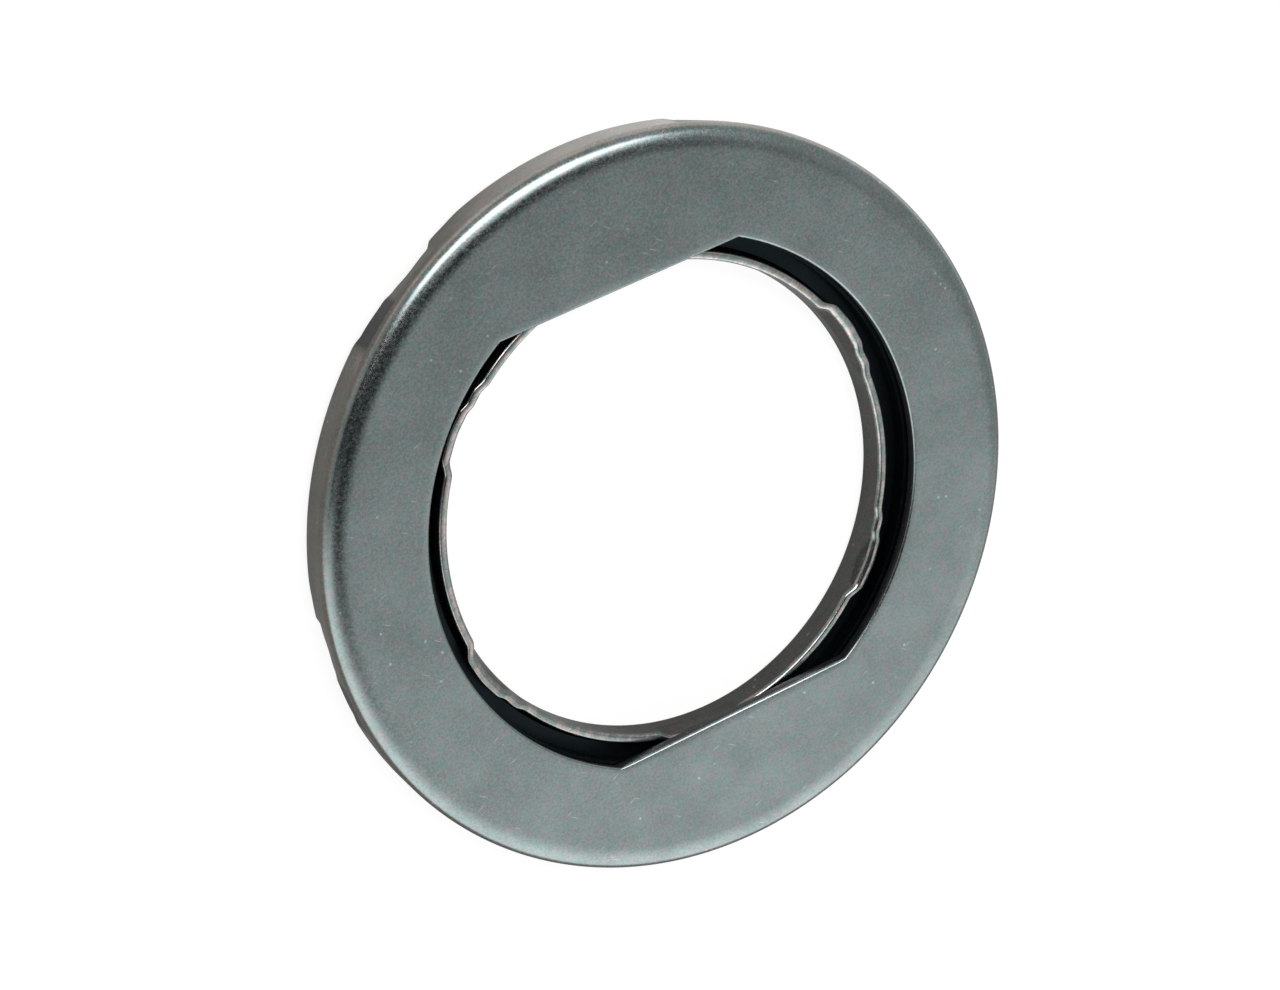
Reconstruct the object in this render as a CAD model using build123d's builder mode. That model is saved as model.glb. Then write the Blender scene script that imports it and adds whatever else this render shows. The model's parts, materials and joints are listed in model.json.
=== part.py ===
from build123d import *

import os
from math import atan2, cos, degrees, radians, sin

# Captured thrust needle roller bearing, 45 x 70.5 x 5.2 mm, lying on its rear race.
#
# +Z is the bearing's axis and points out of the front race. The origin is on the axis, in the plane of the
# rear race's thrust face. Lengths are in millimetres, and angles in degrees, counted from +X about +Z.
# The two flats of the front race's bore lie along X.

# Envelope
OUTER_RADIUS = 35.25
BORE_RADIUS = 22.5
HEIGHT = 5.2

# Sheet thicknesses of the drawn and hardened races and of the pressed cage
RACE_SHEET = 1.3
OUTER_LIP_SHEET = 1.1
INNER_LIP_SHEET = 0.9
CAGE_SHEET = 0.45

# Front race: a flat washer with a double-D bore, and a lip drawn down around its rim
FRONT_BORE_RADIUS = 25.2
FLAT_DISTANCE = 21.9
FLAT_CORNER_RADIUS = 0.3
OUTER_LIP_BOTTOM = 0.7
OUTER_BEND_RADIUS = 1.4
INSIDE_BEND_RADIUS = 0.3
SHEARED_EDGE_RADIUS = 0.2
LIP_EDGE_RADIUS = 0.25

# Rear race: a flat washer inside the outer lip, with a lip drawn up through the bore
REAR_OUTER_RADIUS = 32.6
INNER_LIP_TOP = 3.35
REAR_BEND_RADIUS = 0.5

# Needle rollers
ROLLER_COUNT = 48
FIRST_ROLLER_ANGLE = 3.75
ROLLER_RADIUS = 1.25
ROLLER_LENGTH = 5.8
ROLLER_END_RADIUS = 0.2
ROLLER_INNER_END = 25.6

# Cage: one pressed sheet of W section, with a low rim inside and outside the rollers
CAGE_INNER_RADIUS = 23.7
CAGE_OUTER_RADIUS = 33.2
CAGE_BOTTOM = 1.55
CAGE_TOP = 3.65
CAGE_WALL_RADIUS = 25.0
DIP_HALF_FLOOR = 1.0
DIP_SLOPE_RUN = 0.8
POCKET_PLAY = 0.1

# Crimps: punch marks that turn each lip's free edge over the rims of the cage
CRIMP_COUNT = 6
PUNCH_LENGTH = 8.0
OUTER_CRIMP_ANGLE = 1.5
OUTER_CRIMP_DEPTH = 1.1
OUTER_CRIMP_TOP = 3.2
OUTER_PUNCH_RADIUS = 12.0
INNER_CRIMP_ANGLE = 21.0
INNER_CRIMP_DEPTH = 0.85
INNER_CRIMP_FOOT = 2.15
INNER_PUNCH_RADIUS = 7.0

# Heights and radii that follow
FRONT_UNDERSIDE = HEIGHT - RACE_SHEET
OUTER_LIP_INSIDE = OUTER_RADIUS - OUTER_LIP_SHEET
INNER_LIP_OUTSIDE = BORE_RADIUS + INNER_LIP_SHEET
ROLLER_HEIGHT = (RACE_SHEET + FRONT_UNDERSIDE) / 2
PITCH_RADIUS = ROLLER_INNER_END + ROLLER_LENGTH / 2


def crimp_angles(first):
    """The angles of one lip's equally spaced crimps."""
    return [first + i * 360 / CRIMP_COUNT for i in range(CRIMP_COUNT)]


def radial_plane(angle, radius, height, lean=0.0):
    """A plane at a radius and height, facing up and leaning away from the axis by an angle."""
    turn = radians(angle)
    tip = radians(lean)
    outward = Vector(cos(turn), sin(turn), 0)
    up = Vector(0, 0, 1)
    return Plane(
        origin=outward * radius + up * height,
        x_dir=outward * cos(tip) - up * sin(tip),
        z_dir=outward * sin(tip) + up * cos(tip),
    )


def make_front_race():
    """Flat race with a double-D bore and an outer lip, whose edge is crimped in under the cage's rim."""
    lean = degrees(atan2(OUTER_CRIMP_DEPTH, OUTER_CRIMP_TOP - OUTER_LIP_BOTTOM))
    slant = 1 / cos(radians(lean))
    axis_radius = OUTER_RADIUS - OUTER_CRIMP_DEPTH + OUTER_PUNCH_RADIUS * slant
    places = [
        radial_plane(angle, axis_radius, OUTER_LIP_BOTTOM, lean) for angle in crimp_angles(OUTER_CRIMP_ANGLE)
    ]

    with BuildPart() as bulges:
        with BuildSketch(*places):
            Circle(OUTER_PUNCH_RADIUS + OUTER_LIP_SHEET / slant)
        extrude(amount=PUNCH_LENGTH, both=True)
        with BuildSketch(Plane.XY.offset(OUTER_LIP_BOTTOM)):
            Circle(OUTER_LIP_INSIDE + OUTER_LIP_SHEET / 2)
            Circle(OUTER_LIP_INSIDE - OUTER_LIP_SHEET, mode=Mode.SUBTRACT)
        extrude(amount=FRONT_UNDERSIDE - OUTER_LIP_BOTTOM, mode=Mode.INTERSECT)

    with BuildPart() as punches:
        with BuildSketch(*places):
            Circle(OUTER_PUNCH_RADIUS)
        extrude(amount=PUNCH_LENGTH, both=True)

    with BuildPart() as front_race:
        with BuildSketch(Plane.XZ) as section:
            with BuildLine():
                Polyline(
                    (0, FRONT_UNDERSIDE),
                    (OUTER_LIP_INSIDE, FRONT_UNDERSIDE),
                    (OUTER_LIP_INSIDE, OUTER_LIP_BOTTOM),
                    (OUTER_RADIUS, OUTER_LIP_BOTTOM),
                    (OUTER_RADIUS, HEIGHT),
                    (0, HEIGHT),
                    close=True,
                )
            make_face()
            rim = section.vertices().group_by(Axis.X)[-1].sort_by(Axis.Y)[-1]
            bend = section.vertices().group_by(Axis.X)[-2].sort_by(Axis.Y)[-1]
            free_edge = section.vertices().group_by(Axis.Y)[0]
            fillet(rim, OUTER_BEND_RADIUS)
            fillet(bend, INSIDE_BEND_RADIUS)
            fillet(free_edge, LIP_EDGE_RADIUS)
        revolve(axis=Axis.Z)
        with BuildSketch(Plane.XY.offset(HEIGHT)) as double_d:
            Circle(FRONT_BORE_RADIUS)
            Rectangle(2 * FRONT_BORE_RADIUS, 2 * FLAT_DISTANCE, mode=Mode.INTERSECT)
            fillet(double_d.vertices(), FLAT_CORNER_RADIUS)
        extrude(amount=-RACE_SHEET, mode=Mode.SUBTRACT)
        fillet(front_race.faces().sort_by(Axis.Z)[-1].inner_wires()[0].edges(), SHEARED_EDGE_RADIUS)
        add(bulges.part)
        add(punches.part, mode=Mode.SUBTRACT)
    return front_race


def make_rear_race():
    """Flat race with an inner lip, whose edge is crimped out over the cage's rim."""
    lean = degrees(atan2(INNER_CRIMP_DEPTH, INNER_LIP_TOP - INNER_CRIMP_FOOT))
    slant = 1 / cos(radians(lean))
    axis_radius = BORE_RADIUS + INNER_CRIMP_DEPTH - INNER_PUNCH_RADIUS * slant
    places = [
        radial_plane(angle, axis_radius, INNER_LIP_TOP, lean) for angle in crimp_angles(INNER_CRIMP_ANGLE)
    ]

    with BuildPart() as bulges:
        with BuildSketch(*places):
            Circle(INNER_PUNCH_RADIUS + INNER_LIP_SHEET / slant)
        extrude(amount=PUNCH_LENGTH, both=True)
        with BuildSketch(Plane.XY.offset(RACE_SHEET)):
            Circle(INNER_LIP_OUTSIDE + INNER_LIP_SHEET)
            Circle(INNER_LIP_OUTSIDE - INNER_LIP_SHEET / 2, mode=Mode.SUBTRACT)
        extrude(amount=INNER_LIP_TOP - RACE_SHEET, mode=Mode.INTERSECT)

    with BuildPart() as punches:
        with BuildSketch(*places):
            Circle(INNER_PUNCH_RADIUS)
        extrude(amount=PUNCH_LENGTH, both=True)

    with BuildPart() as rear_race:
        with BuildSketch(Plane.XZ) as section:
            with BuildLine():
                Polyline(
                    (BORE_RADIUS, 0),
                    (REAR_OUTER_RADIUS, 0),
                    (REAR_OUTER_RADIUS, RACE_SHEET),
                    (INNER_LIP_OUTSIDE, RACE_SHEET),
                    (INNER_LIP_OUTSIDE, INNER_LIP_TOP),
                    (BORE_RADIUS, INNER_LIP_TOP),
                    close=True,
                )
            make_face()
            rear_bend = section.vertices().group_by(Axis.X)[0].sort_by(Axis.Y)[0]
            inside_bend = section.vertices().group_by(Axis.X)[1].sort_by(Axis.Y)[0]
            rim = section.vertices().group_by(Axis.X)[-1]
            free_edge = section.vertices().group_by(Axis.Y)[-1]
            fillet(rear_bend, REAR_BEND_RADIUS)
            fillet(inside_bend, INSIDE_BEND_RADIUS)
            fillet(rim, LIP_EDGE_RADIUS)
            fillet(free_edge, LIP_EDGE_RADIUS)
        revolve(axis=Axis.Z)
        add(bulges.part)
        add(punches.part, mode=Mode.SUBTRACT)
    return rear_race


def make_cage():
    """Pressed W-section ring with a pocket for each roller."""
    half_sheet = CAGE_SHEET / 2
    low = CAGE_BOTTOM + half_sheet
    high = CAGE_TOP - half_sheet
    inner_wall = CAGE_WALL_RADIUS + half_sheet
    outer_wall = 2 * PITCH_RADIUS - inner_wall
    dip_edge = DIP_HALF_FLOOR + DIP_SLOPE_RUN
    with BuildPart() as cage:
        with BuildSketch(Plane.XZ):
            with BuildLine() as middle:
                Polyline(
                    (CAGE_INNER_RADIUS, low),
                    (inner_wall, low),
                    (inner_wall, high),
                    (PITCH_RADIUS - dip_edge, high),
                    (PITCH_RADIUS - DIP_HALF_FLOOR, low),
                    (PITCH_RADIUS + DIP_HALF_FLOOR, low),
                    (PITCH_RADIUS + dip_edge, high),
                    (outer_wall, high),
                    (outer_wall, low),
                    (CAGE_OUTER_RADIUS, low),
                )
            trace(middle.line, line_width=CAGE_SHEET)
        revolve(axis=Axis.Z)
        with BuildSketch(Plane.XY.offset(CAGE_BOTTOM)):
            with PolarLocations(PITCH_RADIUS, ROLLER_COUNT, start_angle=FIRST_ROLLER_ANGLE):
                Rectangle(ROLLER_LENGTH + 2 * POCKET_PLAY, 2 * (ROLLER_RADIUS + POCKET_PLAY))
        extrude(amount=CAGE_TOP - CAGE_BOTTOM, mode=Mode.SUBTRACT)
    return cage


def make_roller(angle):
    """One needle roller, lying along a radius between the races."""
    turn = radians(angle)
    outward = Vector(cos(turn), sin(turn), 0)
    inner_end = Plane(origin=outward * ROLLER_INNER_END + Vector(0, 0, ROLLER_HEIGHT), z_dir=outward)
    with BuildPart() as roller:
        with BuildSketch(inner_end):
            Circle(ROLLER_RADIUS)
        extrude(amount=ROLLER_LENGTH)
        fillet(roller.edges().filter_by(GeomType.CIRCLE), ROLLER_END_RADIUS)
    return roller


def main():
    os.makedirs("parts", exist_ok=True)

    front_race = make_front_race()
    front_race.part.label = "front_race"
    export_step(front_race.part, "parts/front_race.step")

    rear_race = make_rear_race()
    rear_race.part.label = "rear_race"
    export_step(rear_race.part, "parts/rear_race.step")

    cage = make_cage()
    cage.part.label = "cage"
    export_step(cage.part, "parts/cage.step")

    for i in range(ROLLER_COUNT):
        roller = make_roller(FIRST_ROLLER_ANGLE + i * 360 / ROLLER_COUNT)
        roller.part.label = f"needle_roller_{i + 1:02d}"
        export_step(roller.part, f"parts/{roller.part.label}.step")


main()
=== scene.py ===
# Looks of a captured thrust needle roller bearing: finished races, cage and rollers, light and camera.
# Lengths are in metres and angles in degrees, counted from +X about +Z, the bearing's axis.

import json
from math import asin, copysign, cos, degrees, floor, pi, radians, sin

import bpy
from mathutils import Matrix, Vector


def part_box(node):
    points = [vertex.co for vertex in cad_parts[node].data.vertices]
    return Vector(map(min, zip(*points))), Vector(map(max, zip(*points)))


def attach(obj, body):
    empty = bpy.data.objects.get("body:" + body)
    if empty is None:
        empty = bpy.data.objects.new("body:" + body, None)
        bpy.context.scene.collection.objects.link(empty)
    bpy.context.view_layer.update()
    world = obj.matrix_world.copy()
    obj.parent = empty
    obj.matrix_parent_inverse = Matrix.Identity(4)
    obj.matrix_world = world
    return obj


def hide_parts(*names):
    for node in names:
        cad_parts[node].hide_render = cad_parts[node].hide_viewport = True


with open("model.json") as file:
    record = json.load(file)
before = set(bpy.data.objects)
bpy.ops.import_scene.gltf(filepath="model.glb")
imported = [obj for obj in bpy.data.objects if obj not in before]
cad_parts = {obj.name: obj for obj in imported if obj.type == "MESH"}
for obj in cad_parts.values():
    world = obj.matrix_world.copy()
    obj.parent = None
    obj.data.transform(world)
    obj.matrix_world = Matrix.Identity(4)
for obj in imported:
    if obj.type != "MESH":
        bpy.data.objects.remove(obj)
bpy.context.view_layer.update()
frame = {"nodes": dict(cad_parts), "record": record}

MM = 0.001

# Places that the frame gives
MOUNTS = {mount["name"]: mount for mount in frame["record"]["mounts"]}
FRONT_LOW, FRONT_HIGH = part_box("front_race")
REAR_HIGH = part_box("rear_race")[1]
OUTER_RADIUS = FRONT_HIGH.x
REAR_RADIUS = REAR_HIGH.x
TOP = FRONT_HIGH.z
LIP_BOTTOM = FRONT_LOW.z
COLLAR_TOP = REAR_HIGH.z
BORE_RADIUS = MOUNTS["hub_bore"]["dims"]["r_mm"] * MM

# Front race: a flat washer whose rim is drawn down into a lip, with a sheared double-D bore
RACE_SHEET = 1.3 * MM
OUTER_LIP_SHEET = 1.1 * MM
OUTER_LIP_TAPER = 0.2 * MM
FRONT_BORE_RADIUS = 25.2 * MM
FLAT_DISTANCE = 21.9 * MM
BEND_RUN = 2.4 * MM
BEND_DROP = 1.35 * MM
BEND_POWER = 2.35
INSIDE_BEND = 0.4 * MM
LIP_EDGE = 0.25 * MM
LIP_TINT_TOP = 0.45 * MM
LIP_TINT_FADE = 0.4 * MM
SHEAR_DEPTH = 0.6 * MM
SHEAR_TEAR = 0.15 * MM
BORE_EDGE_RUN = 0.16 * MM
BORE_EDGE_DROP = 0.12 * MM
FLAT_EDGE_RUN = 0.22 * MM
FLAT_EDGE_DROP = 0.17 * MM
FLAT_EDGE_FADE = 0.5 * MM
EDGE_POWER = 1.25
FACE_START = 0.04 * MM

# Rear race: a flat washer whose bore is drawn up into a collar
COLLAR_SHEET = 0.9 * MM
REAR_BEND = 0.55 * MM
COLLAR_EDGE = 0.3 * MM
COLLAR_TINT_FADE = 0.5 * MM

# Crimps: each is a deep flat with a shallower facet beside it, given by (angle, share of the depth). Beside
# the deep flat the lip is painted dark, a painted shade, then light, a painted highlight. A side of -1 turns
# a collar crimp round.
CRIMP_COUNT = 6
OUTER_CRIMP_ANGLE = 0.5
OUTER_CRIMP_DEPTHS = (0.8 * MM, 0.8 * MM, 0.8 * MM, 0.5 * MM, 0.8 * MM, 0.8 * MM)
OUTER_CRIMP_TOP = 3.5 * MM
OUTER_CRIMP_POWER = 1.25
OUTER_OUTLINE = (
    (-12, 0), (-7.5, 0.2), (-5.8, 0.25), (-4.4, 0.85), (0, 1), (3.4, 0.8), (5.4, 0.5), (11, 0.3), (13.2, 0),
)
# Painted shade on the lip beside each deep flat and a painted highlight after it, as (angle, share), and
# their strengths
OUTER_PAINTED_SHADE = ((4.0, 0), (5.2, 1), (12.2, 1), (13.2, 0))
OUTER_PAINTED_HIGHLIGHT = ((13.0, 0), (14.0, 1), (18.0, 0))
PAINTED_SHADE_SHARE = 0.9
PAINTED_HIGHLIGHT_SHARE = 0.6
INNER_CRIMP_ANGLE = 21.0
INNER_CRIMP_DEPTH = 0.8 * MM
INNER_CRIMP_FOOT = 1.75 * MM
INNER_CRIMP_POWER = 1.2
INNER_OUTLINE = ((-9.8, 0), (-5.6, 0.92), (0, 1), (4.8, 0.85), (7.6, 0.42), (10.2, 0.45), (13.6, 0))
INNER_SIDES = (-1, 1, -1, 1, 1, 1)

# Finishes and painted light of a race's surface, as shares of the zones (lip, partly painted shade on the
# rear collar; sheared edge, partly painted shade; painted highlight)
TUMBLED = (0, 0, 0)
LIP = (1, 0, 0)
SHEARED_AND_SHADE = (0, 1, 0)
# A painted highlight
PAINTED_HIGHLIGHT = (0, 0, 1)

# Steps along the stretches of a race's outline, and round the ring
SHEAR_STEPS = 4
LAND_STEPS = 3
ROLLED_STEPS = 8
BEND_STEPS = 36
FACE_STEPS = 14
PLAIN_STEPS = 12
WALL_STEPS = 14
LIP_INSIDE_STEPS = 10
COLLAR_BORE_STEPS = 30
REAR_BEND_STEPS = 10
EDGE_STEPS = 5
ROUND_STEPS = 6
RING_STEPS = 780
SHARP_ANGLE = 26


# Shapes

def straight(start, end, count, finish_and_painted_light=TUMBLED):
    """Points from start up to, but not including, end."""
    return [
        (start[0] + (end[0] - start[0]) * i / count, start[1] + (end[1] - start[1]) * i / count, finish_and_painted_light)
        for i in range(count)
    ]


def arc(centre, run, rise, first, last, count, power=2, finish_and_painted_light=TUMBLED):
    """Points of a superellipse from one angle to another, both ends included; a power of 2 is an ellipse."""
    points = []
    for i in range(count + 1):
        turn = radians(first + (last - first) * i / count)
        across = copysign(abs(cos(turn)) ** (2 / power), cos(turn))
        up = copysign(abs(sin(turn)) ** (2 / power), sin(turn))
        points.append((centre[0] + run * across, centre[1] + rise * up, finish_and_painted_light))
    return points


def smooth(t):
    """Nought below 0, one above 1, and an S between them."""
    t = min(max(t, 0.0), 1.0)
    return t * t * (3 - 2 * t)


def outline_share(outline, offset):
    """The value of an outline of (angle, share) points at an angle from its middle."""
    for (a, low), (b, high) in zip(outline, outline[1:]):
        if a <= offset <= b:
            return low + (high - low) * smooth((offset - a) / (b - a))
    return 0.0


def crimp_share(angle, first, outline, sizes=(1,) * CRIMP_COUNT, sides=(1,) * CRIMP_COUNT):
    """The value of a crimp's outline, times its size, at an angle; a side of -1 turns that crimp round."""
    pitch = 360 / CRIMP_COUNT
    index = floor((angle - first) / pitch + 0.5)
    offset = angle - first - index * pitch
    crimp = index % CRIMP_COUNT
    return sizes[crimp] * outline_share(outline, offset * sides[crimp])


def pushed(points, start, end, depth, power):
    """Points moved along the radius by more and more of the depth from one height to another."""
    return [(r + depth * max(0.0, (z - start) / (end - start)) ** power, z, f) for r, z, f in points]


def front_bore(angle):
    """Radius of the double-D bore at an angle."""
    return min(FRONT_BORE_RADIUS, FLAT_DISTANCE / max(abs(sin(radians(angle))), 1e-6))


def bore_wall(angle, under):
    """The sheared wall of the double-D bore and its rolled edge, which is wider on one flat."""
    bore = front_bore(angle)
    flat = smooth((FRONT_BORE_RADIUS - bore) / FLAT_EDGE_FADE) if angle > 180 else 0.0
    run = BORE_EDGE_RUN + (FLAT_EDGE_RUN - BORE_EDGE_RUN) * flat
    drop = BORE_EDGE_DROP + (FLAT_EDGE_DROP - BORE_EDGE_DROP) * flat
    cut = TOP - SHEAR_DEPTH
    # The sheared wall takes the dark zone: dull sheared metal and partly painted shade
    torn = straight((bore + SHEAR_TEAR, under), (bore, cut), SHEAR_STEPS, SHEARED_AND_SHADE)
    land = straight((bore, cut), (bore, TOP - drop), LAND_STEPS, SHEARED_AND_SHADE)
    return torn + land + arc((bore + run, TOP - drop), run, drop, 180, 90, ROLLED_STEPS, EDGE_POWER)[:-1]


def outer_bend():
    """The gentle shoulder from the front face into the lip, tightest near the lip."""
    middle = (OUTER_RADIUS - BEND_RUN, TOP - BEND_DROP)
    bend = arc(middle, BEND_RUN, BEND_DROP, 90, 0, BEND_STEPS, BEND_POWER)
    return [(r, z, (smooth((TOP - LIP_TINT_TOP - z) / LIP_TINT_FADE), 0, 0)) for r, z, _ in bend]


def outer_lip(angle, under):
    """The lip from the bend down round its free edge and up inside, pressed in at the crimps."""
    inside = OUTER_RADIUS - OUTER_LIP_SHEET
    shoulder = TOP - BEND_DROP
    # Painted shade beside each deep flat, then a painted highlight
    painted_light = crimp_share(angle, OUTER_CRIMP_ANGLE, OUTER_PAINTED_SHADE)
    bright = crimp_share(angle, OUTER_CRIMP_ANGLE, OUTER_PAINTED_HIGHLIGHT)
    finish_and_painted_light = (1, PAINTED_SHADE_SHARE * painted_light, PAINTED_HIGHLIGHT_SHARE * bright)
    edge = LIP_BOTTOM + LIP_EDGE
    lip = straight((OUTER_RADIUS, shoulder), (OUTER_RADIUS, edge), WALL_STEPS, finish_and_painted_light)[1:]
    lip += arc((OUTER_RADIUS - LIP_EDGE, edge), LIP_EDGE, LIP_EDGE, 0, -90, EDGE_STEPS, finish_and_painted_light=finish_and_painted_light)
    lip += arc((inside + LIP_EDGE, edge), LIP_EDGE, LIP_EDGE, -90, -180, EDGE_STEPS, finish_and_painted_light=LIP)
    inside_foot = (inside, LIP_BOTTOM + 2 * LIP_EDGE)
    lip += straight(inside_foot, (inside, under - INSIDE_BEND), LIP_INSIDE_STEPS, LIP)
    depth = crimp_share(angle, OUTER_CRIMP_ANGLE, OUTER_OUTLINE, OUTER_CRIMP_DEPTHS)
    lip = pushed(lip, shoulder, LIP_BOTTOM, -OUTER_LIP_TAPER, 1)
    return pushed(lip, OUTER_CRIMP_TOP, LIP_BOTTOM, -depth, OUTER_CRIMP_POWER)


def front_section(angle):
    """Outline of the front race at an angle, as (radius, height, finish) points."""
    under = TOP - RACE_SHEET
    wall = bore_wall(angle, under)
    inside = OUTER_RADIUS - OUTER_LIP_SHEET - INSIDE_BEND
    face_start = wall[-1][0] + FACE_START
    return (
        wall
        + straight((face_start, TOP), (OUTER_RADIUS - BEND_RUN, TOP), FACE_STEPS)
        + outer_bend()
        + outer_lip(angle, under)
        + arc((inside, under - INSIDE_BEND), INSIDE_BEND, INSIDE_BEND, 0, 90, ROUND_STEPS)
        + straight((inside, under), (wall[0][0], under), PLAIN_STEPS)[1:]
    )


def collar(angle):
    """The rear race's collar from its root outside, over its free edge and down the bore."""
    outside = BORE_RADIUS + COLLAR_SHEET
    edge = COLLAR_TOP - COLLAR_EDGE
    # The collar's walls take the darker lip zone: dark polished steel, partly painted shade
    up = straight((outside, RACE_SHEET + INSIDE_BEND), (outside, edge), WALL_STEPS, LIP)[1:]
    # The rounded free edge takes a painted highlight on both sides
    up += arc((outside - COLLAR_EDGE, edge), COLLAR_EDGE, COLLAR_EDGE, 0, 90, ROUND_STEPS, finish_and_painted_light=PAINTED_HIGHLIGHT)
    middle = (BORE_RADIUS + COLLAR_EDGE, edge)
    down = arc(middle, COLLAR_EDGE, COLLAR_EDGE, 90, 180, ROUND_STEPS, finish_and_painted_light=PAINTED_HIGHLIGHT)
    down += straight((BORE_RADIUS, edge), (BORE_RADIUS, REAR_BEND), COLLAR_BORE_STEPS, LIP)[1:]
    depth = INNER_CRIMP_DEPTH * crimp_share(angle, INNER_CRIMP_ANGLE, INNER_OUTLINE, sides=INNER_SIDES)
    return pushed(up + down, INNER_CRIMP_FOOT, COLLAR_TOP, depth, INNER_CRIMP_POWER)


def rear_section(angle):
    """Outline of the rear race at an angle, as (radius, height, finish) points."""
    root = BORE_RADIUS + COLLAR_SHEET + INSIDE_BEND
    rim = REAR_RADIUS - LIP_EDGE
    middle = (BORE_RADIUS + REAR_BEND, REAR_BEND)
    bend = arc(middle, REAR_BEND, REAR_BEND, 180, 270, REAR_BEND_STEPS)[:-1]
    return (
        straight((BORE_RADIUS + REAR_BEND, 0), (rim, 0), PLAIN_STEPS)
        # The rim's sheared edges take the dark zone: dull sheared metal and partly painted shade
        + arc((rim, LIP_EDGE), LIP_EDGE, LIP_EDGE, -90, 0, EDGE_STEPS, finish_and_painted_light=SHEARED_AND_SHADE)
        + arc((rim, RACE_SHEET - LIP_EDGE), LIP_EDGE, LIP_EDGE, 0, 90, EDGE_STEPS, finish_and_painted_light=SHEARED_AND_SHADE)
        + straight((rim, RACE_SHEET), (root, RACE_SHEET), PLAIN_STEPS)[1:]
        + arc((root, RACE_SHEET + INSIDE_BEND), INSIDE_BEND, INSIDE_BEND, -90, -180, ROUND_STEPS)
        + collar(angle)
        # The darker lip zone, partly painted shade, fades in up the bend
        + [(r, z, (smooth(z / COLLAR_TINT_FADE), 0, 0)) for r, z, _ in bend]
    )


def ring_angles():
    """Even steps round the ring, and the four corners of the double-D bore."""
    corner = degrees(asin(FLAT_DISTANCE / FRONT_BORE_RADIUS))
    corners = [corner, 180 - corner, 180 + corner, 360 - corner]
    step = 360 / RING_STEPS
    even = [i * step for i in range(RING_STEPS)]
    return sorted(corners + [a for a in even if min(abs(a - c) for c in corners) > step / 3])


def ring_piece(name, section, material):
    """A closed ring whose section may change with the angle, and whose surface zones and painted light are
    kept on its points.
    """
    angles = ring_angles()
    points = []
    finishes_and_painted_light = []
    for angle in angles:
        turn = radians(angle)
        for r, z, finish_and_painted_light in section(angle):
            points.append((r * cos(turn), r * sin(turn), z))
            finishes_and_painted_light.extend(finish_and_painted_light)
    width = len(points) // len(angles)
    faces = []
    for i in range(len(angles)):
        here = i * width
        there = (i + 1) % len(angles) * width
        for j in range(width):
            k = (j + 1) % width
            faces.append((here + j, here + k, there + k, there + j))
    mesh = bpy.data.meshes.new(name)
    mesh.from_pydata(points, [], faces)
    mesh.attributes.new("finish_and_painted_light", "FLOAT_VECTOR", "POINT").data.foreach_set("vector", finishes_and_painted_light)
    mesh.shade_smooth()
    mesh.set_sharp_from_angle(angle=radians(SHARP_ANGLE))
    mesh.materials.append(material)
    piece = bpy.data.objects.new(name, mesh)
    bpy.context.collection.objects.link(piece)
    return piece


# Materials

# Noise is given by (waves per millimetre, detail, roughness)
BLOTCH_NOISE = (0.16, 3.0, 0.6)
MOTTLE_NOISE = (0.95, 3.0, 0.6)
SPECKLE_NOISE = (2.0, 3.0, 0.65)
FINE_NOISE = (4.0, 3.0, 0.7)

MOTTLE_TINTS = ((0.92, 1.02, 1.01, 1), (1.09, 0.98, 1.01, 1))
MOTTLE_EDGES = (0.36, 0.64)
DEPTH_BLOTCH_SHARE = 0.35
DEPTH_FINE_SHARE = 0.65
DEPTH_EDGES = (0.32, 0.68)
DEPTH_SHADES = (0.79, 1.21)
ROUGH_EDGES = (0.25, 0.75)
SMOOTHER = 0.05
ROUGHER = 0.07
# The painted highlight is broken up by the mottling between these
PAINTED_HIGHLIGHT_EDGES = (0.42, 0.58)
PAINTED_HIGHLIGHT_SHARES = (0.3, 1.0)
FINE_GRAIN_SHARE = 0.3

WORN_COLOUR = (0.80, 0.85, 0.85, 1)
NICK_CELLS = 0.45
NICK_EDGES = (0.03, 0.085)
SCRATCH_STRETCH = (0.2, 2.2, 0.8)
SCRATCH_EDGES = (0.04, 0.11)
SCRATCH_CHOICE = (0.64, 0.68)
SCRATCH_ANGLES = (35, -20)

FACE_GREY = (0.292, 0.340, 0.335)
# Dull sheared metal and partly painted shade; beside the crimps it is painted shade
SHEAR_AND_SHADE_BLACK = ((0.13, 0.135, 0.14), 0.45)
FRONT_ROUGH = 0.225
# Front zones: the lip's warm tone, the sheared edge with painted shade, and a painted highlight
FRONT_ZONES = (((0.29, 0.28, 0.25), 0.3), SHEAR_AND_SHADE_BLACK, ((0.5, 0.46, 0.45), 0.3))
FRONT_MARKS = 0.5
REAR_ROUGH = 0.24
# Rear zones: the collar's darker colour is dark polished steel and partly painted shade, then the sheared
# edge, then the rim's painted highlight
REAR_ZONES = (((0.17, 0.172, 0.158), 0.18), SHEAR_AND_SHADE_BLACK, ((0.50, 0.49, 0.46), 0.18))
REAR_MARKS = 0.3
REAR_RIPPLE = 0.03 * MM
# Near-black cage steel, partly painted shade for the dark gap between the races
CAGE_BLACK = (0.020, 0.028, 0.031)
CAGE_ROUGH = 0.4
ROLLER_GREY = (0.55, 0.55, 0.55)
ROLLER_ROUGH = 0.16
ROLLER_GRAIN = 0.0005 * MM
RACE_GRAIN = 0.003 * MM


def add(tree, kind, inputs=None, **settings):
    """A node with its settings, and its inputs given as values or as sockets to link."""
    made = tree.nodes.new(kind)
    for name, value in settings.items():
        setattr(made, name, value)
    for name, value in (inputs or {}).items():
        if isinstance(value, bpy.types.NodeSocket):
            tree.links.new(value, made.inputs[name])
        else:
            made.inputs[name].default_value = value
    return made


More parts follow.
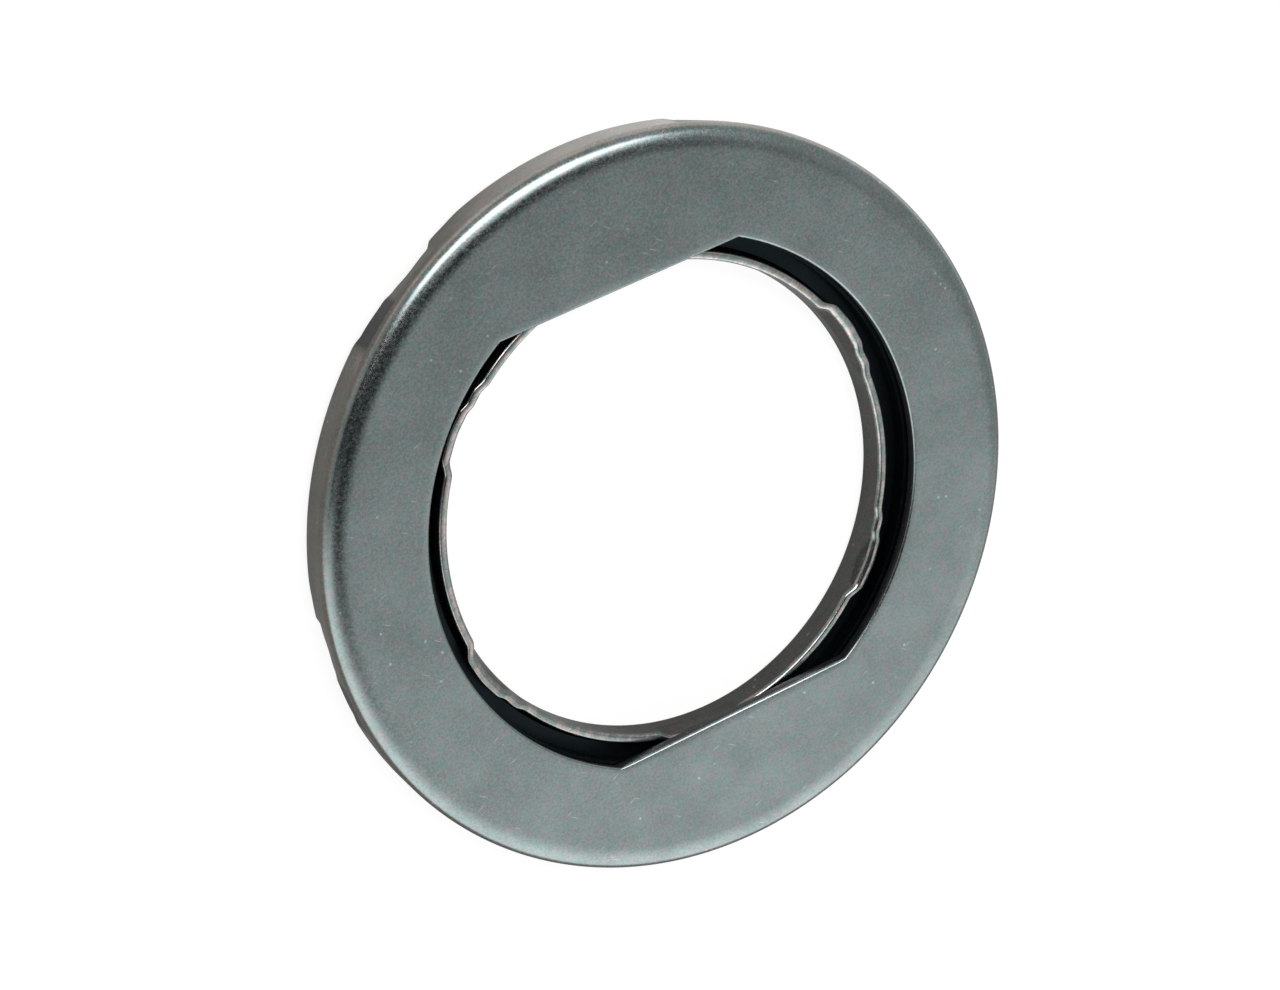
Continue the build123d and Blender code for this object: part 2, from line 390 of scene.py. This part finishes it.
def maths(tree, operation, a, b=0.0, c=0.0):
    """The value of a Math node."""
    return add(tree, "ShaderNodeMath", {0: a, 1: b, 2: c}, operation=operation).outputs[0]


def vector(tree, operation, a, b):
    """The vector of a Vector Math node; b is a number where the operation scales."""
    inputs = {0: a, 3 if operation == "SCALE" else 1: b}
    return add(tree, "ShaderNodeVectorMath", inputs, operation=operation).outputs[0]


def ramp(tree, value, low, high, start=0.0, end=1.0):
    """A smooth step from start to end as the value goes from low to high."""
    inputs = {"Value": value, "From Min": low, "From Max": high, "To Min": start, "To Max": end}
    return add(tree, "ShaderNodeMapRange", inputs, interpolation_type="SMOOTHSTEP").outputs["Result"]


def between(tree, share, a, b):
    """A number between two numbers."""
    return add(tree, "ShaderNodeMix", {0: share, 2: a, 3: b}).outputs[0]


def mix(tree, share, a, b):
    """A colour between two colours."""
    return add(tree, "ShaderNodeMix", {0: share, 6: a, 7: b}, data_type="RGBA").outputs[2]


def noise(tree, place, scale, detail, roughness=0.5):
    """Noise between 0 and 1."""
    inputs = {"Vector": place, "Scale": scale, "Detail": detail, "Roughness": roughness}
    return add(tree, "ShaderNodeTexNoise", inputs).outputs["Fac"]


def cells(tree, place, scale):
    """Scattered cells: the distance from the nearest one's middle, and its random colour."""
    made = add(tree, "ShaderNodeTexVoronoi", {"Vector": place, "Scale": scale}, feature="F1")
    return made.outputs["Distance"], made.outputs["Color"]


def nicks(tree, place):
    """Shares of small round bright nicks."""
    distance, _ = cells(tree, place, NICK_CELLS)
    return ramp(tree, distance, *NICK_EDGES, 1.0, 0.0)


def scratches(tree, place, angle):
    """Shares of short hairline scratches along one direction, on a third of their cells."""
    inputs = {"Vector": place, "Angle": radians(angle)}
    turned = add(tree, "ShaderNodeVectorRotate", inputs, rotation_type="Z_AXIS").outputs[0]
    distance, colour = cells(tree, vector(tree, "MULTIPLY", turned, SCRATCH_STRETCH), 1.0)
    line = ramp(tree, distance, *SCRATCH_EDGES, 1.0, 0.0)
    red = add(tree, "ShaderNodeSeparateXYZ", {0: colour}).outputs[0]
    return maths(tree, "MULTIPLY", line, ramp(tree, red, *SCRATCH_CHOICE))


def worn_marks(tree, place):
    """Shares of the nicks and of the scratches in both directions."""
    worn = nicks(tree, place)
    for angle in SCRATCH_ANGLES:
        worn = maths(tree, "MAXIMUM", worn, scratches(tree, place, angle))
    return worn


def finish_and_painted_light_shares(tree):
    """The shares of a race's zones: lip, partly painted shade on the rear collar; sheared edge, partly
    painted shade; and painted highlight.
    """
    shares = add(tree, "ShaderNodeAttribute", attribute_name="finish_and_painted_light").outputs["Vector"]
    return add(tree, "ShaderNodeSeparateXYZ", {0: shares}).outputs


def shaded(tree, base, place, mottle, fine):
    """A colour tinted by the mottling, and darkened and lightened by the blotches and the fine grain."""
    hue = mix(tree, ramp(tree, mottle, *MOTTLE_EDGES), *MOTTLE_TINTS)
    blotches = maths(tree, "MULTIPLY", noise(tree, place, *BLOTCH_NOISE), DEPTH_BLOTCH_SHARE)
    depth = maths(tree, "ADD", blotches, maths(tree, "MULTIPLY", fine, DEPTH_FINE_SHARE))
    tinted = vector(tree, "MULTIPLY", base, hue)
    return vector(tree, "SCALE", tinted, ramp(tree, depth, *DEPTH_EDGES, *DEPTH_SHADES))


def steel(name, colour, rough, zones=(), marks=0.0, grain=RACE_GRAIN, ripple=0.0):
    """Hardened and tumbled steel: blotches, two-toned mottling, fine grain, and bright nicks and scratches.

    Each zone is a colour and a roughness, which the race's zone share brings in; the lip zone is partly
    painted shade on the rear collar, the sheared zone is partly painted shade and the third zone is a
    painted highlight.
    """
    material = bpy.data.materials.new(name)
    material.use_nodes = True
    tree = material.node_tree
    shader = tree.nodes["Principled BSDF"]
    shader.inputs["Metallic"].default_value = 1.0
    place = vector(tree, "SCALE", add(tree, "ShaderNodeTexCoord").outputs["Object"], 1 / MM)
    # Shares of the lip (partly painted shade on the rear collar), the sheared edge (partly painted shade)
    # and the painted highlight
    lip, sheared_and_shade, bright = finish_and_painted_light_shares(tree)
    mottle = noise(tree, place, *MOTTLE_NOISE)
    fine = noise(tree, place, *FINE_NOISE)

    base = add(tree, "ShaderNodeRGB").outputs[0]
    base.default_value = (*colour, 1)
    roughness = ramp(tree, fine, *ROUGH_EDGES, rough - SMOOTHER, rough + ROUGHER)
    # The painted highlight, broken up by the mottling
    painted_light = maths(tree, "MULTIPLY", bright, ramp(tree, mottle, *PAINTED_HIGHLIGHT_EDGES, *PAINTED_HIGHLIGHT_SHARES))
    for share, (zone_colour, zone_rough) in zip((lip, sheared_and_shade, painted_light), zones):
        base = mix(tree, share, base, (*zone_colour, 1))
        roughness = between(tree, share, roughness, zone_rough)
    base = shaded(tree, base, place, mottle, fine)
    base = mix(tree, maths(tree, "MULTIPLY", worn_marks(tree, place), marks), base, WORN_COLOUR)
    tree.links.new(base, shader.inputs["Base Color"])
    tree.links.new(roughness, shader.inputs["Roughness"])

    speckle = noise(tree, place, *SPECKLE_NOISE)
    fine_grain = maths(tree, "MULTIPLY", fine, FINE_GRAIN_SHARE * grain)
    texture = maths(tree, "ADD", fine_grain, maths(tree, "MULTIPLY", speckle, grain))
    swell = maths(tree, "MULTIPLY", maths(tree, "MULTIPLY", mottle, ripple), lip)
    height = maths(tree, "ADD", texture, swell)
    bump = add(tree, "ShaderNodeBump", {"Height": height, "Strength": 1.0, "Distance": 1.0})
    tree.links.new(bump.outputs["Normal"], shader.inputs["Normal"])
    return material


front_steel = steel("front_race_steel", FACE_GREY, FRONT_ROUGH, FRONT_ZONES, marks=FRONT_MARKS)
rear_steel = steel(
    "rear_race_steel", FACE_GREY, REAR_ROUGH, REAR_ZONES, marks=REAR_MARKS, ripple=REAR_RIPPLE,
)
cage_steel = steel("cage_steel", CAGE_BLACK, CAGE_ROUGH)
roller_steel = steel("roller_steel", ROLLER_GREY, ROLLER_ROUGH, grain=ROLLER_GRAIN)


# Pieces

def make_front_race():
    """The finished front race in place of the CAD one."""
    front_race = ring_piece("front_race_finished", front_section, front_steel)
    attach(front_race, "front_race")
    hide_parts("front_race")


def make_rear_race():
    """The finished rear race in place of the CAD one."""
    rear_race = ring_piece("rear_race_finished", rear_section, rear_steel)
    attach(rear_race, "rear_race")
    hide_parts("rear_race")


def paint(node, material):
    """A kept CAD node in one material."""
    for entry in node.material_slots:
        entry.material = material


def paint_cage_and_rollers():
    """The cage and the rollers, which keep their CAD shapes."""
    for name, node in frame["nodes"].items():
        if name == "cage":
            paint(node, cage_steel)
        elif name.startswith("needle_roller"):
            paint(node, roller_steel)


# Floor, light and camera

FLOOR_HALF_SIZE = 4.0
FLOOR_GAP = 0.05 * MM
FLOOR_GREYS = ((0.22, 0.22, 0.22, 1), (0.24, 0.24, 0.24, 1))
FLOOR_GRAIN_SCALE = 40.0
FLOOR_GRAIN_DETAIL = 3.0
FLOOR_ROUGH = 0.9
FLOOR_SPECULAR = 0.1
FLOOR_SEEN_GLOW = 0.86
FLOOR_BRIGHT_WAY = (cos(radians(65)), sin(radians(65)), 0)
# Each step of the glow along that way is given by (first place, last place, glow before, glow after)
FLOOR_NEAR_GLOW = (-34 * MM, -14 * MM, 0.03, 0.17)
FLOOR_FAR_GLOW = (22 * MM, 38 * MM, 0.0, 0.72)

SKY_DIM = (0.015, 0.016, 0.016)
WARM = (1.0, 0.97, 0.98)
COOL = (0.985, 1.0, 1.0)
COOLER = (0.98, 1.0, 1.0)
NEUTRAL = (1.0, 1.0, 1.0)
# Each window is given by (azimuth, half its width, its low and high edges, how soft, strength, colour)
SKY_WINDOWS = (
    (77, 39, 44, 66, 6, 5.0, WARM),
    (48, 24, 60, 76, 7, 1.6, WARM),
    (253, 67.5, -5, 60, 16, 1.26, COOL),
    (255, 42, 5, 42, 10, 0.35, COOLER),
    (8, 42, -5, 60, 12, 0.42, COOLER),
    (128, 80, -10, 38, 9, 0.42, NEUTRAL),
    (0, 200, -10, 12, 8, 0.15, NEUTRAL),
    (0, 200, -120, -14, 5, 0.8, NEUTRAL),
)

CAMERA_AZIMUTH = radians(131.12)
CAMERA_ELEVATION = radians(57.34)
CAMERA_ROLL = radians(118.75)
CAMERA_DISTANCE = 0.352
CAMERA_AIM = Vector((-3.49 * MM, 2.707 * MM, TOP))
CAMERA_SENSOR = 36
CAMERA_LENS = 109.4
CAMERA_NEAREST = 0.01
CAMERA_FARTHEST = 20


def floor_glow(tree, place):
    """The floor's own light: even where it is seen, and stepped across where it is reflected."""
    inputs = {0: place, 1: FLOOR_BRIGHT_WAY}
    towards = add(tree, "ShaderNodeVectorMath", inputs, operation="DOT_PRODUCT").outputs["Value"]
    glow = maths(tree, "ADD", ramp(tree, towards, *FLOOR_NEAR_GLOW), ramp(tree, towards, *FLOOR_FAR_GLOW))
    seen = add(tree, "ShaderNodeLightPath").outputs["Is Camera Ray"]
    return between(tree, seen, glow, FLOOR_SEEN_GLOW)


def floor_paint():
    """Pale paint that shows from above only."""
    material = bpy.data.materials.new("floor_paint")
    material.use_nodes = True
    tree = material.node_tree
    shader = tree.nodes["Principled BSDF"]
    place = add(tree, "ShaderNodeTexCoord").outputs["Object"]
    grain = noise(tree, place, FLOOR_GRAIN_SCALE, FLOOR_GRAIN_DETAIL)
    tree.links.new(mix(tree, grain, *FLOOR_GREYS), shader.inputs["Base Color"])
    shader.inputs["Emission Color"].default_value = (1, 1, 1, 1)
    tree.links.new(floor_glow(tree, place), shader.inputs["Emission Strength"])
    behind = add(tree, "ShaderNodeNewGeometry").outputs["Backfacing"]
    tree.links.new(maths(tree, "SUBTRACT", 1.0, behind), shader.inputs["Alpha"])
    shader.inputs["Roughness"].default_value = FLOOR_ROUGH
    shader.inputs["Specular IOR Level"].default_value = FLOOR_SPECULAR
    return material


def make_floor():
    """A pale floor just under the rear race, which hides nothing from below."""
    mesh = bpy.data.meshes.new("floor")
    turns = ((-1, -1), (1, -1), (1, 1), (-1, 1))
    corners = [(x * FLOOR_HALF_SIZE, y * FLOOR_HALF_SIZE, -FLOOR_GAP) for x, y in turns]
    mesh.from_pydata(corners, [], [(0, 1, 2, 3)])
    mesh.materials.append(floor_paint())
    floor_object = bpy.data.objects.new("floor", mesh)
    bpy.context.collection.objects.link(floor_object)


def softbox(tree, facing, azimuth, half_width, low, high, soft, strength, colour):
    """Light from a soft-edged window of the sky, where the facing is an azimuth and an elevation."""
    azimuth_now, elevation_now = facing
    turn = maths(tree, "SUBTRACT", azimuth_now, radians(azimuth))
    away = maths(tree, "ABSOLUTE", maths(tree, "WRAP", turn, pi, -pi))
    across = ramp(tree, away, radians(half_width - soft), radians(half_width + soft), 1.0, 0.0)
    above = ramp(tree, elevation_now, radians(low - soft), radians(low + soft))
    below = ramp(tree, elevation_now, radians(high - soft), radians(high + soft), 1.0, 0.0)
    inside = maths(tree, "MULTIPLY", across, above)
    share = maths(tree, "MULTIPLY", inside, maths(tree, "MULTIPLY", below, strength))
    return vector(tree, "SCALE", colour, share)


def make_sky():
    """A dim studio with a key window above one side and a broad low fill on the other."""
    world = bpy.data.worlds.new("studio")
    bpy.context.scene.world = world
    world.use_nodes = True
    tree = world.node_tree
    way = add(tree, "ShaderNodeTexCoord").outputs["Generated"]
    parts = add(tree, "ShaderNodeSeparateXYZ", {0: way}).outputs
    facing = (maths(tree, "ARCTAN2", parts["Y"], parts["X"]), maths(tree, "ARCSINE", parts["Z"]))
    total = add(tree, "ShaderNodeCombineXYZ", dict(enumerate(SKY_DIM))).outputs[0]
    for window in SKY_WINDOWS:
        total = vector(tree, "ADD", total, softbox(tree, facing, *window))
    tree.links.new(total, tree.nodes["Background"].inputs["Color"])


def make_camera():
    """Looks down at the bearing from beside the key window, rolled so that the flats climb to the right."""
    out = cos(CAMERA_ELEVATION)
    back = Vector((cos(CAMERA_AZIMUTH) * out, sin(CAMERA_AZIMUTH) * out, sin(CAMERA_ELEVATION)))
    level_right = Vector((0, 0, 1)).cross(back).normalized()
    level_up = back.cross(level_right)
    right = level_right * cos(CAMERA_ROLL) + level_up * sin(CAMERA_ROLL)
    up = back.cross(right)
    data = bpy.data.cameras.new("camera")
    data.sensor_width = CAMERA_SENSOR
    data.lens = CAMERA_LENS
    data.clip_start = CAMERA_NEAREST
    data.clip_end = CAMERA_FARTHEST
    camera = bpy.data.objects.new("camera", data)
    bpy.context.collection.objects.link(camera)
    turned = Matrix((right, up, back)).transposed().to_4x4()
    camera.matrix_world = Matrix.Translation(CAMERA_AIM + back * CAMERA_DISTANCE) @ turned
    bpy.context.scene.camera = camera


make_front_race()
make_rear_race()
paint_cage_and_rollers()
make_floor()
make_sky()
make_camera()
bpy.context.scene.view_settings.view_transform = "Standard"
